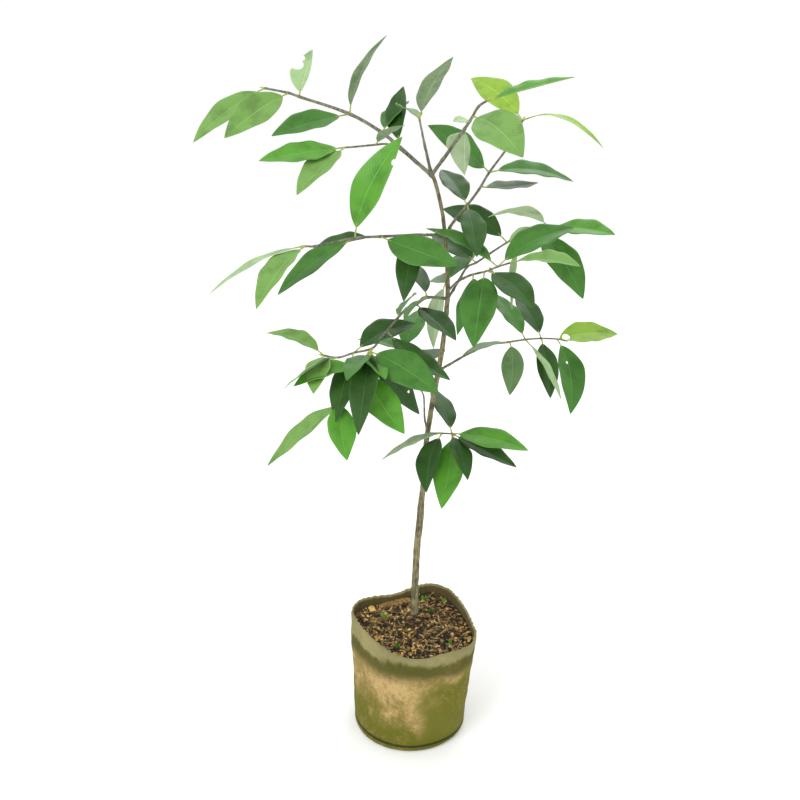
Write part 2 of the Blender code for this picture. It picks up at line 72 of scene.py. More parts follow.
# The foot from the middle of its underside to past the sewn seam: height, and how far inside the wall's line
BAG_FOOT = ((0, 45), (0, 5), (1.2, 1.4), (3, 0.4), (5, 0), (7, 0.5), (SEAM_HEIGHT, 1.6), (10, 0.5), (12, 0))

# Soil and mulch
SOIL_EDGE = 123
MOUND = 4
GAP = 0.3
MULCH_DEPTH = 2
MULCH_SWELL = 1.6
MOUND_RADIUS = 40
FOOT_MOUND = 11
FOOT_MOUND_RADIUS = 18
LUMPS_FROM = 15
# Each kind of lump: its level in the noise, its scale and its height
LUMPS = ((0, 0.08, 2.2), (5, 0.3, 1.2))
BED_ROWS = 40
BED_UNDER_CHIPS = 0.8
CHIPS = 1900
MULCH_SEED = 5
CHIP_CLEARANCE = 7
CHIP_BEVEL = 0.18
CHIP_WARP = 0.28
CHIP_SIZES = ((1.8, 7), (1, 3.4), (0.5, 1.8))
STRAW_LENGTHS = (6, 14)
STRAW_SECTION = (0.8, 0.6)
CRUMB_SIZES = (1.5, 3.5)
BARK, WOOD, STRAW, CRUMB = 1, 2, 3, 4
# Each big chip: its name, kind, place, size and turn in degrees
BIG_CHIPS = (
    ("bark_slab", BARK, (-20, 46), (38, 8, 2.5), (24, -6, 12)),
    ("bark_disc", WOOD, (-47, 33), (8, 8, 2.5), (20, 10, 30)),
)
SPRIG_SEED = 8
SPRIG_FEET = ((-34, 22), (14, 56), (36, 52), (22, 28), (-46, 6), (40, -30), (-20, -34))
SPRIG_BLADES = 3
SPRIG_STEP = 1.5
SPRIG_REACHES = ((-5, 5), (-5, 3), (4, 8))
SPRIG_WIDTH = 3.2

# Trunk: its way up with its radius at each stop
TRUNK_WAY = (
    (2, 12, SOIL_EDGE + MOUND + GAP, 7.5),
    (2, 12, 131, 6.2),
    (2.5, 12, 140, 4.6),
    (3, 12, 171, 4.1),
    (5, 11, 227, 3.7),
    (8.5, 9, 268, 3.9),
    (9, 9, 281, 3.6),
    (11, 8, 305, 2.9),
    (14, 7, 358, 2.8),
    (21, 6, 411, 2.7),
    (27, 5, 448, 2.6),
    (32, 5, 496, 2.4),
    (33, 5, 530, 2.2),
    (28, 8, 590, 1.8),
    (20, 10, 625, 1.8),
    (15, 10, 637, 1.9),
)

# Stems: curve pieces between two stops, and how far and how long the swelling at each stop is
WAY_PARTS = 8
KNOT_SWELL = 0.22
KNOT_LENGTH = 0.12
# A direction along which no stem runs, where the skin's seam starts
SEAM_SIDE = (0.31, 0.87, 0.21)
# How finely the bark's relief changes along a stem and around it
RELIEF_ALONG = 0.35
RELIEF_AROUND = 1.3
# The bud at a shoot's end: how far out, and its radius there
BUD = ((0, 1.1), (3.2, 0.9), (5.5, 0.2))

# Leaf build
PETIOLE_RADIUS = 0.7
STALK_STOPS = 7
LEAF_THICKNESS = 0.4
LEAF_FOLD = 14
LEAF_FOLD_SPREAD = 8
LEAF_WAVE = 0.05
LEAF_WAVE_SHIFT = 1.7
LEAF_CURL = 0.6
LEAF_BEND = 0.42
LEAF_FACE_RISE = 0.4
BLADE_SKEW = 0.92
BLADE_FULLNESS = 0.9
LEAF_CELLS = (12, 34)
BITTEN_LEAF_CELLS = (40, 96)
NUDGES = (0, 5, -5, 10, -10, 16, -16, 24, -24)


class Leaf(NamedTuple):
    """One leaf: the stop of its shoot, where its tip lies from its foot, its width and how its face leans.

    front and side lean the upper face to the viewer's side and to the right, 1 being 45 degrees.
    arch is the rise of the midrib over the straight line and stalk the stalk's stretch, as shares of the
    leaf's length. bow is how far the middle of the midrib is pushed past that rise, in millimetres, and
    halves widen or narrow the halves of the blade, the left one of a leaf that points away first.
    """

    at: float
    reach: tuple
    wide: float
    front: float = 0.0
    tone: str = "mid"
    side: float = 0.0
    arch: float = 0.05
    bow: tuple = (0, 0, 0)
    halves: tuple = (1, 1)
    stalk: float = 0.11


class Shoot(NamedTuple):
    """One leafy shoot: its way out from the trunk's middle, its thickness and its leaves.

    Up to the stop named bare it is a bough, and past that the stem of a mass of foliage.
    """

    name: str
    way: tuple
    thick: tuple
    bare: float
    leaves: tuple
    parent: str = "trunk"
    twigs: tuple = ()


SHOOTS = (
    Shoot(
        "crown_left",
        ((16, 10, 633), (-14, 22, 657), (-31, 30, 670), (-62, 42, 686), (-112, 58, 701), (-122, 62, 704),
         (-146, 70, 708)),
        (2.0, 1.0),
        0.8,
        (
            Leaf(6, (-66, -39, -47), 27, 0.7, "light"),
            Leaf(5, (-56, -52, -37), 34, 1.6, "light", arch=0.04),
            Leaf(4, (11, 44, 42), 34, 0.2, "pale", arch=0, halves=(0.9, 0.25)),
            Leaf(3, (36, -39, 70), 19, 0.2, "dull", arch=0.04, bow=(-4, 0, 1)),
            Leaf(3, (-69, -53, -15), 30, 0.7, "mid", arch=0.02, stalk=0.16),
            Leaf(2, (26, 60, 25), 26, -0.5, "mid"),
            Leaf(1.1, (5, 59, 51), 28, -0.9, "dark", halves=(1, 0.6)),
        ),
        twigs=(
            Shoot(
                "side",
                ((-14, 22, 657), (-27, 16, 661), (-37, 10, 661), (-59, 0, 660), (-65, -3, 660)),
                (1.1, 0.8),
                0,
                (
                    Leaf(2, (27, -39, 21), 18, 0.0, "dull"),
                    Leaf(4, (-74, -39, -7), 30, 0.6, "bright", arch=0.01),
                    Leaf(4, (-39, -64, -33), 30, 0.1, "light", arch=0.03),
                ),
            ),
        ),
    ),
    Shoot(
        "crown_tip",
        ((15, 10, 637), (9, 9, 661), (4, 8, 684)),
        (1.5, 0.9),
        1.6,
        (
            Leaf(2, (27, -52, 55), 28, 0.3, "dull", arch=0.08),
            Leaf(2, (-21, 64, 9), 26, -0.6, "mid"),
        ),
    ),
    Shoot(
        "crown_right",
        ((15, 10, 632), (26, 0, 649), (44, -20, 678), (48, -25, 685), (55, -32, 698), (61, -38, 703)),
        (1.8, 1.0),
        1.7,
        (
            Leaf(5, (79, 19, 19), 27, 0.1, "bright", arch=0.005),
            Leaf(3.3, (37, -74, -26), 40, 1.6, "light", arch=0.08),
            Leaf(3, (-16, -22, 2), 10, 1.0, "pale"),
            Leaf(2, (4, 40, -46), 28, 0.6, "pale", halves=(1.4, 0.35)),
        ),
    ),
    Shoot(
        "back_right",
        ((31, 7, 572), (34, 10, 583), (40, 18, 590), (52, 32, 601), (64, 45, 614), (75, 58, 629),
         (93, 74, 650),
         (110, 90, 676)),
        (1.6, 1.0),
        2.6,
        (
            Leaf(3, (-23, 70, 25), 28, 0.1, "dark"),
            Leaf(3, (5, -72, -35), 28, -0.6, "dark", halves=(1, 0.8)),
            Leaf(4.2, (64, 47, -3), 28, 0.2, "dark", arch=-0.04),
            Leaf(5, (-63, -42, 49), 32, 1.3, "mid", arch=0.03),
            Leaf(5, (89, 22, -12), 30, 0.4, "mid", arch=0.08),
            Leaf(7, (-49, 60, 38), 32, 1.6, "lime", arch=0.08),
            Leaf(7, (71, -58, -20), 12, 0.1, "lime", arch=0.16),
        ),
    ),
    Shoot(
        "front_left",
        ((28, 7, 577), (2, -8, 580), (-32, -30, 583), (-55, -46, 585), (-90, -72, 583), (-97, -76, 584)),
        (1.5, 0.9),
        0.9,
        (
            Leaf(1.2, (-6, -64, -47), 24, -0.6, "dark", bow=(2, 0, 0)),
            Leaf(2, (69, -56, -14), 34, 1.0, "mid", arch=-0.01),
            Leaf(2.2, (-74, 23, -28), 28, 0.3, "dark"),
            Leaf(3, (43, 9, 88), 33, 0.6, "bright", arch=0.08, bow=(-1, 0, 0)),
            Leaf(3, (-70, -23, -47), 30, 0.3, "mid"),
            Leaf(5, (-80, -38, -33), 20, -0.1, "pale", arch=0.075),
            Leaf(5, (-36, -66, -38), 30, -0.2, "light", arch=0.08),
        ),
    ),
    Shoot(
        "low_left",
        ((31, 5, 514), (13, -2, 517), (2, -12, 513), (-9, -22, 510), (-17, -32, 504), (-33, -52, 490),
         (-40, -60, 484), (-57, -64, 481), (-72, -66, 477), (-85, -66, 479)),
        (1.5, 0.9),
        0.6,
        (
            Leaf(1, (-23, 66, 26), 26, -0.8, "dark"),
            Leaf(1, (-23, -62, -5), 20, -1.7, "mid"),
            Leaf(2, (35, -70, -14), 28, 0.0, "dark", arch=0),
            Leaf(4, (20, 60, 9), 20, -2.0, "mid"),
            Leaf(4.6, (58, -57, -28), 30, 0.0, "dark", arch=-0.05),
            Leaf(5.2, (19, 54, -8), 24, 0.2, "dark"),
            Leaf(6, (-10, -68, -48), 28, -0.7, "dark"),
            Leaf(6.2, (48, 22, -65), 30, 0.5, "dark", arch=-0.01),
            Leaf(7, (59, 59, 10), 31, 0.4, "dark", arch=0.08),
            Leaf(7, (-14, -66, -42), 26, -0.6, "dark"),
            Leaf(8, (-44, -61, -8), 24, -1.2, "pale"),
            Leaf(9, (-57, 31, 12), 24, 0.1, "light", arch=0.09),
            Leaf(9, (-6, -52, -18), 24, -0.8, "light", arch=0.1),
        ),
    ),
    Shoot(
        "young_left",
        ((-40, -60, 484), (-43, -64, 481), (-49, -78, 473), (-57, -94, 461), (-65, -108, 450)),
        (1.3, 1.0),
        0,
        (
            Leaf(0.7, (63, -54, -23), 36, 0.9, "mid"),
            Leaf(1.1, (-17, -57, -5), 24, -0.6, "mid"),
            Leaf(1.5, (19, -61, -6), 24, -0.8, "bright"),
            Leaf(2, (39, -62, -41), 34, 0.3, "bright", arch=-0.03, bow=(-2, 0, -1)),
            Leaf(2, (-60, -58, -7), 30, 0.1, "bright"),
            Leaf(4, (-71, -8, -61), 27, 0.2, "light", arch=0.02),
            Leaf(4, (5, -68, -38), 28, -0.7, "bright", bow=(-4, 0, 0)),
        ),
        parent="low_left",
    ),
    Shoot(
        "low_right",
        ((29, 5, 440), (35, 7, 443), (62, 30, 450), (82, 44, 453), (102, 58, 451), (122, 70, 450),
         (141, 80, 448),
         (160, 90, 444), (169, 94, 441)),
        (1.4, 0.8),
        3.5,
        (
            Leaf(4, (-52, -48, 2), 16, -0.1, "dull"),
            Leaf(4.1, (-4, -50, -42), 24, -0.6, "dull", bow=(3, 0, 0)),
            Leaf(5, (32, -62, -46), 22, -0.7, "pale"),
            Leaf(5, (-33, 62, 37), 28, -0.2, "mid"),
            Leaf(6, (-22, 65, 34), 28, -0.1, "dark"),
            Leaf(6, (5, -52, -50), 26, -0.6, "dark"),
            Leaf(7, (9, -60, -65), 32, -0.4, "mid", bow=(6, 0, 0)),
            Leaf(7.1, (73, 28, -3), 32, 0.6, "lime", stalk=0.03),
        ),
    ),
    Shoot(
        "lowest",
        ((16, 6.5, 367), (29, 0, 370), (40, -8, 373)),
        (1.1, 0.8),
        0,
        (
            Leaf(1, (-62, -33, -15), 22, -1.2, "dull"),
            Leaf(1.1, (-18, -62, -37), 28, -0.6, "dark", bow=(-4, 0, 0)),
            Leaf(2, (-13, -66, -52), 34, -0.6, "bright", bow=(3, 0, 0)),
            Leaf(2, (13, -58, -24), 24, -0.8, "dark"),
            Leaf(2, (62, -48, -15), 28, 0.1, "dark", arch=0),
            Leaf(2, (73, -45, 2), 32, 0.3, "bright"),
            Leaf(2, (-19, 70, 25), 28, -1.0, "dark"),
        ),
    ),
    Shoot(
        "low_back",
        ((14, 7, 372), (12, 13, 382), (11, 25, 402), (8, 28, 408), (-1, 45, 424), (-11, 62, 440)),
        (1.0, 0.7),
        2,
        (
            Leaf(4, (38, 62, 2), 28, 0.0, "dark"),
            Leaf(5, (-52, 58, -6), 28, 0.0, "mid"),
            Leaf(5, (22, 72, 26), 28, 0.0, "mid"),
        ),
    ),
    Shoot(
        "front_right",
        ((33, 5, 522), (42, 0, 532), (47, -6, 537), (54, -12, 542), (61, -20, 546), (68, -28, 550),
         (77, -36, 556),
         (87, -46, 562)),
        (1.3, 0.8),
        2.2,
        (
            Leaf(3.3, (-18, -62, -41), 26, -0.9, "mid", bow=(4, 0, 0)),
            Leaf(4.7, (-14, -68, -53), 37, -0.5, "mid", bow=(1, 0, 0)),
            Leaf(5, (36, -68, -17), 30, 0.5, "dark", bow=(2, 0, 0)),
            Leaf(5.2, (20, 43, -30), 22, 0.8, "dark"),
            Leaf(6, (-66, 44, 27), 28, 0.1, "mid"),
            Leaf(6, (77, 42, 28), 32, 0.5, "mid", arch=0.08),
            Leaf(7, (53, -59, 11), 28, 0.3, "light"),
        ),
    ),
    Shoot(
        "middle_right",
        ((33, 5, 513), (39, 9, 522), (45, 14, 531), (53, 21, 542), (62, 26, 545), (77, 34, 553),
         (94, 42, 562),
         (108, 50, 567), (124, 58, 570), (139, 64, 573)),
        (1.3, 0.8),
        3.4,
        (
            Leaf(4, (-43, 62, 16), 30, 0.6, "dark"),
            Leaf(6, (-63, 56, 24), 30, 1.0, "dark", arch=0.1),
            Leaf(6, (23, -20, 19), 12, 0.9, "pale"),
            Leaf(7, (-12, -56, -61), 14, -0.8, "pale"),
            Leaf(8, (41, -66, -53), 34, 0.8, "mid", bow=(3, 0, 0)),
            Leaf(9, (-67, -36, 17), 24, -0.6, "pale", arch=0.14),
            Leaf(9, (53, -66, 6), 30, 0.6, "bright", arch=0.03),
        ),
    ),
    Shoot(
        "inner_back",
        ((33, 5, 518), (35, 20, 523), (33, 40, 521)),
        (0.9, 0.7),
        0,
        (
            Leaf(1.6, (-18, 50, -12), 22, 0.9, "dull"),
            Leaf(2, (-13, -30, -61), 22, -0.8, "pale"),
            Leaf(2, (34, 60, 20), 26, 0.0, "mid"),
        ),
    ),
)

# Eaten places: shoot, leaf number, share of the blade's length, place across from -1 to 1, radius in mm
BITES = (
    ("crown_left", 2, 0.62, -0.75, 6.5),
    ("crown_left", 2, 0.78, -1.05, 5.0),
    ("front_left", 3, 0.78, 1.05, 3.2),
    ("low_right", 6, 0.3, 0.1, 1.6),
    ("low_right", 7, 0.12, 0.1, 4.5),
    ("low_left", 7, 0.7, -0.5, 1.2),
)


def paint(red, green, blue):
    """A linear colour from the 0 to 255 values that the eye sees."""
    shares = (red / 255, green / 255, blue / 255)
    return tuple(((v + 0.055) / 1.055) ** 2.4 if v > 0.04 else v / 12.92 for v in shares) + (1,)


# Leaf colours: upper face and underside
TONES = {
    "dark": (paint(48, 86, 32), paint(96, 126, 66)),
    "mid": (paint(66, 118, 42), paint(138, 164, 100)),
    "bright": (paint(84, 146, 44), paint(152, 180, 104)),
    "light": (paint(112, 154, 76), paint(168, 190, 140)),
    "lime": (paint(136, 174, 60), paint(170, 194, 116)),
    "pale": (paint(152, 182, 128), paint(170, 192, 150)),
    "dull": (paint(102, 134, 86), paint(134, 156, 118)),
}

# Each kind of chip in the mulch: its name, two colours, and how often it comes
CHIP_KINDS = (
    ("dark bark chip", paint(58, 46, 24), paint(98, 76, 40), 7),
    ("brown bark chip", paint(104, 80, 42), paint(146, 114, 62), 7),
    ("tan wood chip", paint(176, 138, 72), paint(216, 180, 106), 3.4),
    ("grey straw", paint(132, 112, 72), paint(186, 160, 104), 2.6),
    ("black crumb", paint(24, 18, 14), paint(44, 34, 26), 5),
)


class Wire:
    """A socket in a material, with arithmetic that adds Math nodes."""

    def __init__(self, tree, socket=None):
        self.tree, self.socket = tree, socket

    def feed(self, slot, value):
        """Links a wire to an input, or sets the input to a fixed value."""
        if isinstance(value, Wire):
            self.tree.links.new(value.socket, slot)
        else:
            slot.default_value = value

    def node(self, kind, settings=(), *values, **named):
        """A new node from its type, its settings, and values for its first inputs or for inputs by name."""
        made = self.tree.nodes.new(kind)
        for name, value in dict(settings).items():
            setattr(made, name, value)
        for slot, value in zip(made.inputs, values):
            self.feed(slot, value)
        for name, value in named.items():
            self.feed(made.inputs[name], value)
        return made

    def get(self, made, output=0):
        """A wire from an output of a node."""
        return Wire(self.tree, made.outputs[output])

    def maths(self, operation, *values):
        return self.get(self.node("ShaderNodeMath", {"operation": operation}, *values))

    def __add__(self, other):
        return self.maths("ADD", self, other)

    def __radd__(self, other):
        return self.maths("ADD", other, self)

    def __sub__(self, other):
        return self.maths("SUBTRACT", self, other)

    def __rsub__(self, other):
        return self.maths("SUBTRACT", other, self)

    def __mul__(self, other):
        return self.maths("MULTIPLY", self, other)

    def __rmul__(self, other):
        return self.maths("MULTIPLY", other, self)

    def __abs__(self):
        return self.maths("ABSOLUTE", self)

    def sine(self):
        return self.maths("SINE", self)

    def step(self, low, high):
        """Goes smoothly from 0 at low to 1 at high."""
        smooth = {"interpolation_type": "SMOOTHSTEP"}
        return self.get(self.node("ShaderNodeMapRange", smooth, self, low, high))

    def noise(self, scale, detail=3.0, rough=0.6):
        """Cloudy noise over this position."""
        made = self.node("ShaderNodeTexNoise", Vector=self, Scale=scale, Detail=detail, Roughness=rough)
        return self.get(made)

    def mix(self, first, second):
        """The first colour turning into the second where this mask is 1."""
        made = self.node("ShaderNodeMix", {"data_type": "RGBA"}, self)
        self.feed(made.inputs[6], first)
        self.feed(made.inputs[7], second)
        return self.get(made, 2)


def finish(name, rough, coat=0.0, sheen=0.0, specular=0.5):
    """A material, its shader, and a wire on its tree; what stays even over the surface is set here."""
    material = bpy.data.materials.new(name)
    material.use_nodes = True
    shader = material.node_tree.nodes["Principled BSDF"]
    shader.inputs["Roughness"].default_value = rough
    shader.inputs["Coat Weight"].default_value = coat
    shader.inputs["Coat Roughness"].default_value = 0.25
    shader.inputs["Sheen Weight"].default_value = sheen
    shader.inputs["Specular IOR Level"].default_value = specular
    return material, shader, Wire(material.node_tree)


def place_of(wire, output="Object"):
    """The position on the surface, or with another output the way that it faces."""
    return wire.get(wire.node("ShaderNodeTexCoord"), output)


def dress(wire, shader, colour, height, depth, strength=1.0):
    """Feeds a colour and a bump height to a shader."""
    wire.feed(shader.inputs["Base Color"], colour)
    bump = wire.node("ShaderNodeBump", Strength=strength, Distance=depth, Height=height)
    wire.feed(shader.inputs["Normal"], wire.get(bump))


def leaf_finish(name, colour, upper):
    """Leaf skin: a pale midrib and fine side veins along the blade's own map, and cloudy darker places."""
    rough, coat, specular = (0.42, 0.05, 0.2) if upper else (0.6, 0.0, 0.14)
    vein_share, midrib_share, midrib_relief = (0.28, 0.55, -0.6) if upper else (0.2, 0.75, 0.8)
    vein_pairs, vein_slant, vein_relief = 26, 4.5, -0.25
    light = tuple(min(v * 1.4 + 0.04, 1) for v in colour[:3]) + (1,)
    deep = tuple(v * 0.68 for v in colour[:3]) + (1,)
    material, shader, wire = finish(name, rough, coat, specular=specular)
    run = wire.get(wire.node("ShaderNodeUVMap", {"uv_map": "blade"}))
    parts = wire.node("ShaderNodeSeparateXYZ", Vector=run)
    across, along = abs(wire.get(parts, "X") - 0.5) * 2, wire.get(parts, "Y")
    midrib = 1 - across.step(0.012, 0.055)
    ridge = ((along * vein_pairs - across * vein_slant) * math.tau).sine()
    veins = ridge.step(0.72, 1.0) * across.step(0.05, 0.15)
    margin = across.step(0.86, 1.0)
    skin = place_of(wire).noise(55).step(0.42, 0.72).mix(colour, deep)
    skin = (veins * vein_share).mix(skin, light)
    skin = (midrib * midrib_share).mix(skin, light)
    skin = (margin * 0.3).mix(skin, light)
    dress(wire, shader, skin, veins * vein_relief + midrib * midrib_relief, 0.0003, 0.12)
    return material


def bark_finish(name, dark, light):
    """Thin bark with fine streaks and scattered pale specks."""
    pale_speck = paint(170, 165, 140)
    material, shader, wire = finish(name, 0.8)
    spot = place_of(wire)
    stretch = wire.node("ShaderNodeMapping", {"vector_type": "POINT"}, Vector=spot, Scale=(1, 1, 0.3))
    streak = wire.get(stretch).noise(420, 5)
    patch = spot.noise(90, 3)
    speck = spot.noise(900, 1).step(0.66, 0.74)
    skin = (streak * 0.6 + patch * 0.4).step(0.36, 0.64).mix(dark, light)
    skin = (speck * 0.5).mix(skin, pale_speck)
    dress(wire, shader, skin, streak, 0.0008)
    return material


def felt_finish():
    """Pressed felt: a grey strip and a damp band under the rim, beige places, moss, a dark seam and painted
    shade on the inner face.
    """
    khaki, beige, grey = paint(142, 124, 66), paint(200, 170, 114), paint(142, 140, 98)
    moss, damp, mould = paint(98, 102, 14), paint(72, 76, 24), paint(64, 62, 34)
    # The last of these is a darker brown for painted shade on the inner face of the wall
    thread, hair, painted_inner_shade = paint(34, 34, 26), paint(70, 66, 42), paint(92, 76, 46)
    strip_foot, band_depth = 0.127, 0.026
    material, shader, wire = finish("felt", 0.97, sheen=0.04, specular=0.1)
    spot = place_of(wire)
    parts = wire.node("ShaderNodeSeparateXYZ", Vector=spot)
    right, height = wire.get(parts, "X"), wire.get(parts, "Z")
    cloud, fine, fibre = spot.noise(22, 4), spot.noise(150, 5, 0.7), spot.noise(1300, 2, 0.8)
    wander = cloud - 0.5
    blotch = fine * 0.5 + cloud * 0.5
    skin = (fine * 0.4 + cloud * 0.6).step(0.42, 0.6).mix(khaki, beige)

    # The damp band hangs below the grey strip, which reaches lower at the left and at the right
    over_strip = height + wander * 0.03 - (strip_foot - abs(right + 0.006) * 0.15 + right * 0.06)
    band = (over_strip + band_depth).step(0, 0.016) * (1 - over_strip.step(-0.004, 0.006))
    skin = (band * (0.65 + fine * 0.45)).mix(skin, damp)

    # Moss creeps up from the ground, and higher up the right side
    low = 1 - (height + wander * 0.09 + (right + 0.03) * 0.35).step(0.03, 0.06)
    skin = (low * blotch.step(0.34, 0.5) * 0.95).mix(skin, moss)
    side = (right + wander * 0.1).step(0.0, 0.03) * (1 - (height + wander * 0.06).step(0.085, 0.11))
    skin = (side * blotch.step(0.36, 0.5) * 0.9).mix(skin, moss)

    skin = (over_strip.step(-0.002, 0.004) * 0.8).mix(skin, grey)
    skin = (spot.noise(420, 2).step(0.66, 0.72) * 0.6).mix(skin, mould)
    seam = 1 - abs(height - SEAM_HEIGHT * MM).step(0.001, 0.003)
    skin = (seam * 0.75).mix(skin, thread)
    skin = (fibre.step(0.3, 0.7) * 0.12).mix(skin, hair)

    # Painted shade: the inner face of the wall, which faces the middle of the bag, is painted a darker brown
    facing = wire.node("ShaderNodeVectorMath", {"operation": "DOT_PRODUCT"}, spot, place_of(wire, "Normal"))
    inner_shade_mask = (1 - wire.get(facing, "Value").step(-0.012, 0.0)) * height.step(0.01, 0.03)
    skin = (inner_shade_mask * 0.8).mix(skin, painted_inner_shade)
    dress(wire, shader, skin, fibre * 0.6 + fine, 0.0012)
    return material


def mottled_finish(name, colour, other, rough=0.9, scale=300):
    """Two mottled colours with a rough grain."""
    material, shader, wire = finish(name, rough)
    grain = place_of(wire).noise(scale, 4)
    dress(wire, shader, grain.step(0.38, 0.62).mix(colour, other), grain, 0.0006)
    return material


def smooth_way(stops):
    """A smooth curve through the stops, each segment a Bezier piece whose handles follow its neighbours."""
    stops = [Vector(stop) for stop in stops]
    ends = [2 * stops[0] - stops[1], *stops, 2 * stops[-1] - stops[-2]]
    points = [stops[0]]
    for before, start, stop, after in zip(ends, ends[1:], ends[2:], ends[3:]):
        reach = (stop - start).length / 3
        leave = (stop - before).normalized() * reach
        arrive = (after - start).normalized() * reach
        points += interpolate_bezier(start, start + leave, stop - arrive, stop, WAY_PARTS + 1)[1:]
    return points


def point_at(points, at):
    """The point of a smooth way at a stop number, which may lie between two stops."""
    place = min(at * WAY_PARTS, len(points) - 1)
    index = min(int(place), len(points) - 2)
    return points[index].lerp(points[index + 1], place - index)


def tapered(thick, count):
    """Radii that go evenly from the first thickness to the second."""
    return [thick[0] + (thick[1] - thick[0]) * i / (count - 1) for i in range(count)]


def blade_share(t):
    """Half the blade's width at a share t of its length, 1 at its widest."""
    return math.sin(math.pi * t**BLADE_SKEW) ** BLADE_FULLNESS


def leaf_frame(leaf, foot):
    """The midrib of a leaf as a function of 0 to 1, and the direction that its upper face looks in."""
    reach = Vector(leaf.reach)
    along = reach.normalized()
    face = Vector((leaf.side, -leaf.front, 1))
    face = (face - face.dot(along) * along).normalized()
    rise = UP - UP.dot(along) * along
    lift = (rise + face * LEAF_FACE_RISE).normalized()
    bend = foot + reach * LEAF_BEND + lift * reach.length * leaf.arch * 2
    bend += Vector(leaf.bow) * 2

    def rib(t):
        return foot * (1 - t) ** 2 + bend * 2 * t * (1 - t) + (foot + reach) * t**2

    return rib, face


def pick(*pieces):
    """Selects these pieces and nothing else, the first one active."""
    bpy.ops.object.select_all(action="DESELECT")
    for piece in pieces:
        piece.select_set(True)
    if pieces:
        bpy.context.view_layer.objects.active = pieces[0]


def formed(name, across, along, place):
    """A grid primitive whose every point is placed by its two shares, with closed seams, and a blade map."""
    pick()
    bpy.ops.mesh.primitive_grid_add(x_subdivisions=across, y_subdivisions=along, size=1, calc_uvs=True)
    piece = bpy.context.object
    piece.name = piece.data.name = name
    piece.data.uv_layers[0].name = "blade"
    for vert in piece.data.vertices:
        vert.co = Vector(place(vert.co.x + 0.5, vert.co.y + 0.5)) * MM
    bpy.ops.object.mode_set(mode="EDIT")
    bpy.ops.mesh.select_all(action="SELECT")
    bpy.ops.mesh.remove_doubles(threshold=MERGE)
    bpy.ops.mesh.dissolve_degenerate(threshold=SLIVER)
    bpy.ops.object.mode_set(mode="OBJECT")
    return piece


def turned_out(piece):
    """Points every face of a closed piece outwards."""
    pick(piece)
    bpy.ops.object.mode_set(mode="EDIT")
    bpy.ops.mesh.select_all(action="SELECT")
    bpy.ops.mesh.normals_make_consistent(inside=False)
    bpy.ops.object.mode_set(mode="OBJECT")
    return piece


def applied(piece, kind, **settings):
    """A modifier set up and applied at once."""
    pick(piece)
    modifier = piece.modifiers.new(kind.lower(), kind)
    for name, value in settings.items():
        setattr(modifier, name, value)
    bpy.ops.object.modifier_apply(modifier=modifier.name)


def joined(name, pieces):
    """Several pieces made into one, smooth shaded."""
    pick(*pieces)
    if len(pieces) > 1:
        bpy.ops.object.join()
    whole = bpy.context.object
    whole.name = whole.data.name = name
    whole.data.shade_smooth()
    return whole


def stem_piece(name, points, radii, bark, sides=8, rough=0.0, seed=0):
    """A round stem along points in millimetres, its skin roughened, closed flat at both ends."""
    count = len(points) - 1
    frames = []
    side = Vector(SEAM_SIDE)
    for i, point in enumerate(points):
        heading = (points[min(i + 1, count)] - points[max(i - 1, 0)]).normalized()
        side = (side - side.dot(heading) * heading).normalized()
        frames.append((point, side.copy(), heading.cross(side)))
    rows = count + 2

    def place(u, v):
        row = round(v * rows)
        i = min(max(row - 1, 0), count)
        point, first, second = frames[i]
        radius = 0 if row in (0, rows) else radii[i]
        angle = math.tau * u
        if rough:
            spot = point * RELIEF_ALONG + Vector((math.cos(angle), math.sin(angle), seed)) * RELIEF_AROUND
            radius *= 1 + rough * noise.noise(spot)
        return point + (first * math.cos(angle) + second * math.sin(angle)) * radius

    piece = turned_out(formed(name, sides, rows, place))
    piece.data.materials.append(bark)
    return piece


def leaf_piece(name, leaf, foot, fold_turn, bites, look):
    """A blade on its curved midrib, folded, wavy at its margins and eaten where it should be."""
    rib, face = leaf_frame(leaf, foot)
    fold = math.radians(LEAF_FOLD + random.Random(fold_turn).uniform(-1, 1) * LEAF_FOLD_SPREAD)
    phase, waves, curl = look.uniform(0, math.tau), look.uniform(2.2, 3.6), look.uniform(-0.5, 0.9)

    def place(u, t):
        share = leaf.stalk + (1 - leaf.stalk) * t
        heading = (rib(share + 0.01) - rib(share - 0.01)).normalized()
        across = heading.cross(face).normalized()
        above = across.cross(heading)
        out = u * 2 - 1
        half = leaf.wide / 2 * blade_share(t) * leaf.halves[0 if out < 0 else 1]
        crest = math.sin(t * math.tau * waves + phase + (LEAF_WAVE_SHIFT if out < 0 else 0))
        wave = crest * LEAF_WAVE * half * out * out
        lift = half * abs(out) * math.sin(fold) * (1 + curl * (0.5 - abs(out)) * LEAF_CURL) + wave
        return rib(share) + across * half * out * math.cos(fold) + above * lift

    piece = formed(name, *(BITTEN_LEAF_CELLS if bites else LEAF_CELLS), place)
    if bites:
        shape = bmesh.new()
        shape.from_mesh(piece.data)
        gone = set()
        for _, _, t, out, radius in bites:
            centre = Vector(place((max(min(out, 1), -1) + 1) / 2, t)) * MM
            gone.update(f for f in shape.faces if (f.calc_center_median() - centre).length < radius * MM)
        bmesh.ops.delete(shape, geom=list(gone), context="FACES")
        shape.to_mesh(piece.data)
        shape.free()
    return piece, rib


def nudged(leaf, foot, solid):
    """The leaf with its tip where the solid of its mass has it, among the nudges of the source's rule."""
    right, back, up = leaf.reach

    def miss(nudge):
        tip = foot + Vector((right, back + nudge, up))
        return solid.find_nearest(tip * MM)[3] + 0.00001 * NUDGES.index(nudge)

    return leaf._replace(reach=(right, back + min(NUDGES, key=miss), up))


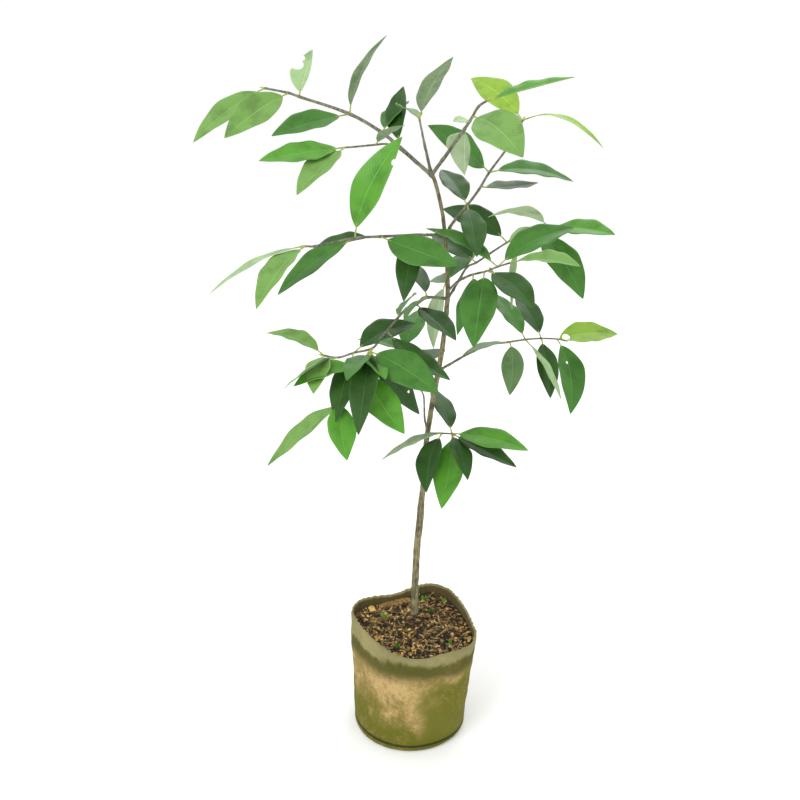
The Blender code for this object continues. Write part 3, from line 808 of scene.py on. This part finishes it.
def shoot_pieces(shoot, base, chance, look, solid, finishes):
    """The leaves and stalks of a shoot and its side twigs, as loose pieces."""
    points = smooth_way(shoot.way)
    blades, woods = [], []
    for i, leaf in enumerate(shoot.leaves):
        foot = point_at(points, leaf.at)
        leaf = nudged(leaf, foot, solid)
        bites = [bite for bite in BITES if bite[:2] == (base, i)]
        blade, rib = leaf_piece(f"{base}_{i}", leaf, foot, chance.random(), bites, look)
        blade.data.materials.append(finishes[leaf.tone])
        blade.data.materials.append(finishes[leaf.tone + " under"])
        applied(blade, "SOLIDIFY", thickness=LEAF_THICKNESS * MM, offset=-1, material_offset=1,
                material_offset_rim=0)
        blades.append(blade)
        stalk = [rib(leaf.stalk * 1.5 * k / (STALK_STOPS - 1)) for k in range(STALK_STOPS)]
        radii = [PETIOLE_RADIUS * (1.25 - 0.09 * k) for k in range(STALK_STOPS)]
        woods.append(stem_piece(f"{base}_stalk_{i}", stalk, radii, finishes["green twig"]))
    for twig in shoot.twigs:
        name = f"{base}_{twig.name}"
        way = smooth_way(twig.way)
        woods.append(stem_piece(name, way, tapered(twig.thick, len(way)), finishes["brown twig"]))
        more_blades, more_woods = shoot_pieces(twig, name, chance, look, solid, finishes)
        blades += more_blades
        woods += more_woods
    return blades, woods


def solid_tree(node):
    """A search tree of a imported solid."""
    mesh = bpy.data.objects[node].data
    faces = [tuple(face.vertices) for face in mesh.polygons]
    return BVHTree.FromPolygons([vert.co for vert in mesh.vertices], faces)


def dress_shoots(finishes):
    """Each bough and mass of foliage as barked stem, stalks and blades."""
    for shoot in SHOOTS:
        chance, look = random.Random("leaves of " + shoot.name), random.Random("looks of " + shoot.name)
        solid = solid_tree("foliage_" + shoot.name)
        blades, woods = shoot_pieces(shoot, shoot.name, chance, look, solid, finishes)
        points = smooth_way(shoot.way)
        radii = []
        for i, radius in enumerate(tapered(shoot.thick, len(points))):
            past_knot = (i / WAY_PARTS + 0.5) % 1 - 0.5
            radii.append(radius * (1 + KNOT_SWELL * math.exp(-(past_knot / KNOT_LENGTH) ** 2)))
        cut = round(shoot.bare * WAY_PARTS)
        bark = finishes["green twig" if shoot.name == "young_left" else "brown twig"]
        if cut:
            name = "bough_" + shoot.name + "_bark"
            bough = stem_piece(name, points[:cut + 1], radii[:cut + 1], bark, sides=12, rough=0.25)
            bough.data.shade_smooth()
            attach(bough, "root")
            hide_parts("bough_" + shoot.name)
        stem = stem_piece("stem", points[cut:], radii[cut:], bark, sides=10, rough=0.12)
        heading = (points[-1] - points[-2]).normalized()
        tip = [points[-1] + heading * out for out, _ in BUD]
        bud = stem_piece("bud", tip, [radius for _, radius in BUD], finishes["green twig"])
        wood = joined(shoot.name + "_twigs", [stem, bud, *woods])
        leaves = joined(shoot.name + "_leaves", blades)
        for piece in (wood, leaves):
            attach(piece, "root")
            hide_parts("foliage_" + shoot.name)


def dress_trunk():
    """The trunk with its bark relief, flared at the foot."""
    points = smooth_way([stop[:3] for stop in TRUNK_WAY])
    radii = [spot.x for spot in smooth_way([(stop[3], 0, i * 10) for i, stop in enumerate(TRUNK_WAY)])]
    bark = bark_finish("trunk bark", paint(74, 66, 44), paint(140, 134, 96))
    trunk = stem_piece("trunk_bark", points, radii, bark, sides=24, rough=0.2, seed=3)
    trunk.data.shade_smooth()
    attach(trunk, "root")
    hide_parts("trunk")


def bag_ring(height, inset=0.0):
    """The bag's outline at a height: a round foot that turns into the floppy rim with its soft corners."""
    closed = [*BAG_RIM, *BAG_RIM[:3]]
    rim = smooth_way([(x, y, 0) for x, y in closed])[WAY_PARTS:-WAY_PARTS - 1]
    share = min(max(height / BAG_HEIGHT, 0), 1) ** 0.8
    ring = []
    for i in range(BAG_SIDES):
        angle = math.tau * i / BAG_SIDES
        heading = Vector((math.cos(angle), math.sin(angle), 0))
        nearest = max(rim, key=lambda p: p.normalized().dot(heading))
        foot = Vector((heading.x * BAG_FOOT_RADII[0], heading.y * BAG_FOOT_RADII[1], 0))
        reach = foot.length * (1 - share) + nearest.length * share
        shift = Vector((BAG_FOOT_MIDDLE * (1 - share), 0, 0))
        ring.append(heading * (reach - inset) + shift + UP * height)
    return ring


def dress_bag():
    """The felt bag: a limp wall with soft dents, a sewn foot seam and an uneven cut rim."""
    low = BAG_FOOT[-1][0]
    wall = [(low + (BAG_HEIGHT - low) * i / BAG_WALL_ROWS, 0) for i in range(1, BAG_WALL_ROWS + 1)]
    rings = [bag_ring(height, inset) for height, inset in (*BAG_FOOT, *wall)]
    rows = len(rings)

    def place(u, v):
        row = round(v * rows)
        if row == 0:
            return Vector((BAG_FOOT_MIDDLE, 0, 0))
        point = rings[row - 1][round(u * BAG_SIDES) % BAG_SIDES]
        out = Vector((point.x, point.y, 0)).normalized()
        share = point.z / BAG_HEIGHT
        soft = min(max((point.z - DENTS_FROM) / DENTS_RISE, 0), 1)
        dent = sum(noise.noise(point * scale) * depth for scale, depth in BAG_DENTS)
        droop = UP * noise.noise(Vector((out.x * 2.2, out.y * 2.2, 4))) * RIM_DROOP * share ** 6
        return point + out * (dent - BAG_SLACK) * soft + droop

    bag = turned_out(formed("felt_bag", BAG_SIDES, rows, place))
    applied(bag, "SOLIDIFY", thickness=FELT * MM, offset=-1, use_even_offset=True)
    bag.data.materials.append(felt_finish())
    bag.data.shade_smooth()
    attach(bag, "root")
    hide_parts("grow_bag")


def from_trunk(x, y):
    """How far a place on the soil is from the middle of the trunk's foot."""
    return math.hypot(x - TRUNK_WAY[0][0], y - TRUNK_WAY[0][1])


def soil_height(x, y):
    """How high the mulch lies: a wide low mound, a steep one at the trunk's foot, and lumps."""
    far = from_trunk(x, y)
    wide = MOUND * max(1 - far / MOUND_RADIUS, 0) * MULCH_SWELL
    steep = FOOT_MOUND * max(1 - far / FOOT_MOUND_RADIUS, 0)
    lump = sum(noise.noise(Vector((x, y, level)) * scale) * height for level, scale, height in LUMPS)
    return SOIL_EDGE + MULCH_DEPTH + wide + steep + lump * min(far / LUMPS_FROM, 1)


def chip_piece(name, blank, bark, size, turn, place, warp=None):
    """A copy of the bevelled blank at its size, turned and in its place, its corners shifted by noise."""
    chip = bpy.data.objects.new(name, blank.data.copy())
    bpy.context.scene.collection.objects.link(chip)
    chip.data.materials.append(bark)
    for vert in chip.data.vertices:
        shift = Vector()
        if warp is not None:
            shift = noise.noise_vector(vert.co * 2.1 + Vector((warp, 0, 0))) * CHIP_WARP
        vert.co = Vector([(c + s) * z for c, s, z in zip(vert.co, shift, Vector(size))]) * MM
    chip.rotation_euler = turn
    chip.location = Vector(place) * MM
    return chip


def dress_soil():
    """The potting mix and its mulch of bark chips, straw and crumbs."""
    edge = bag_ring(SOIL_EDGE, FELT + BAG_SLACK)
    sides = len(edge)

    def place(u, v):
        rim = edge[round(u * sides) % sides]
        x, y = rim.x * v, rim.y * v
        return (x, y, soil_height(x, y) - BED_UNDER_CHIPS)

    bed = turned_out(formed("mulch_bed", sides, BED_ROWS, place))
    bed.data.materials.append(mottled_finish("wet soil", paint(30, 22, 15), paint(70, 52, 36), 0.95, 380))
    kinds = [mottled_finish(name, colour, other) for name, colour, other, _ in CHIP_KINDS]
    shares = [kind[3] for kind in CHIP_KINDS]
    pick()
    bpy.ops.mesh.primitive_cube_add(size=1)
    blank = bpy.context.object
    applied(blank, "BEVEL", width=CHIP_BEVEL, segments=1)
    chance = random.Random(MULCH_SEED)
    # Without a seed, noise_vector gives other values in each run
    noise.seed_set(MULCH_SEED)
    chips = []
    for i in range(CHIPS):
        angle, share = chance.uniform(0, math.tau), chance.random() ** 0.5 * 0.97
        rim = edge[int(angle / math.tau * sides) % sides]
        x, y = rim.x * share, rim.y * share
        if from_trunk(x, y) < CHIP_CLEARANCE:
            continue
        kind = chance.choices(range(len(kinds)), shares)[0]
        size = [chance.uniform(*span) for span in CHIP_SIZES]
        if kind == STRAW:
            size = (chance.uniform(*STRAW_LENGTHS), *STRAW_SECTION)
        if kind == CRUMB:
            size = (chance.uniform(*CRUMB_SIZES),) * 3
        warp = chance.random() * 40
        turn = (chance.uniform(-0.5, 0.5), chance.uniform(-0.4, 0.4), chance.uniform(0, math.tau))
        spot = (x, y, soil_height(x, y) + chance.uniform(-0.6, 0.8))
        chips.append(chip_piece(f"chip_{i}", blank, kinds[kind], size, turn, spot, warp))
    for name, kind, (x, y), size, degrees in BIG_CHIPS:
        turn = [math.radians(angle) for angle in degrees]
        chips.append(chip_piece(name, blank, kinds[kind], size, turn, (x, y, soil_height(x, y) + 2)))
    bpy.data.objects.remove(blank)
    pick(*chips)
    bpy.ops.object.join()
    bpy.ops.object.transform_apply(location=True, rotation=True, scale=True)
    mulch = bpy.context.object
    mulch.name = mulch.data.name = "mulch_chips"
    return bed, mulch


def sprigs(skin):
    """Small green weeds in the mulch."""
    chance = random.Random(SPRIG_SEED)
    blades = []
    for x, y in SPRIG_FEET:
        for k in range(SPRIG_BLADES):
            foot = Vector((x + k * SPRIG_STEP, y, soil_height(x, y)))
            reach = tuple(chance.uniform(*span) for span in SPRIG_REACHES)
            blade, _ = leaf_piece(f"sprig_{x}_{k}", Leaf(0, reach, SPRIG_WIDTH, 0.8), foot, k, (), chance)
            blade.data.materials.append(skin)
            blades.append(blade)
    return joined("soil_sprigs", blades)


def studio():
    """A pale floor, soft lights and the camera."""
    scene = bpy.context.scene
    pick()
    bpy.ops.mesh.primitive_plane_add(size=FLOOR_SIZE)
    floor = bpy.context.object
    floor.name = "floor"
    material, shader, _ = finish("pale floor", 0.9)
    shader.inputs["Base Color"].default_value = FLOOR_WHITE
    floor.data.materials.append(material)
    scene.world = bpy.data.worlds.new("soft sky")
    scene.world.use_nodes = True
    sky = scene.world.node_tree.nodes["Background"]
    sky.inputs["Color"].default_value = (1, 1, 1, 1)
    sky.inputs["Strength"].default_value = SKY_STRENGTH
    for name, place, size, power in LAMPS:
        lamp = bpy.data.lights.new(name, "AREA")
        lamp.size, lamp.energy = size, power
        light = bpy.data.objects.new(name, lamp)
        light.location = place
        light.rotation_euler = (Vector(LAMP_AIM) - Vector(place)).to_track_quat("-Z", "Y").to_euler()
        scene.collection.objects.link(light)
    camera = bpy.data.objects.new("camera", bpy.data.cameras.new("camera"))
    camera.location = EYE
    camera.rotation_euler = (math.radians(90 - PITCH), 0, 0)
    camera.data.lens, camera.data.sensor_width = LENS, SENSOR
    camera.data.clip_start = NEAREST
    scene.collection.objects.link(camera)
    scene.camera = camera
    scene.view_settings.view_transform = "Standard"


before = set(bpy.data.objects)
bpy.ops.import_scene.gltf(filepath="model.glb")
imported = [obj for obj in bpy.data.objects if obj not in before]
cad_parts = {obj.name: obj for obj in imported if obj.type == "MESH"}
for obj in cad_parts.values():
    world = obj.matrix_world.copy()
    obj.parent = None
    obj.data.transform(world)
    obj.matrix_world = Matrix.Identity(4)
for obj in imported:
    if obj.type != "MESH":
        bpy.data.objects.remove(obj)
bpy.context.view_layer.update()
finishes = {}
for tone, (upper, under) in TONES.items():
    finishes[tone] = leaf_finish(tone + " leaf", upper, True)
    finishes[tone + " under"] = leaf_finish(tone + " leaf underside", under, False)
finishes["green twig"] = bark_finish("green twig", paint(128, 140, 62), paint(178, 190, 96))
finishes["brown twig"] = bark_finish("brown twig", paint(78, 80, 64), paint(132, 134, 112))
dress_shoots(finishes)
dress_trunk()
dress_bag()
for piece in (*dress_soil(), sprigs(finishes["bright"])):
    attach(piece, "root")
    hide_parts("soil")
studio()
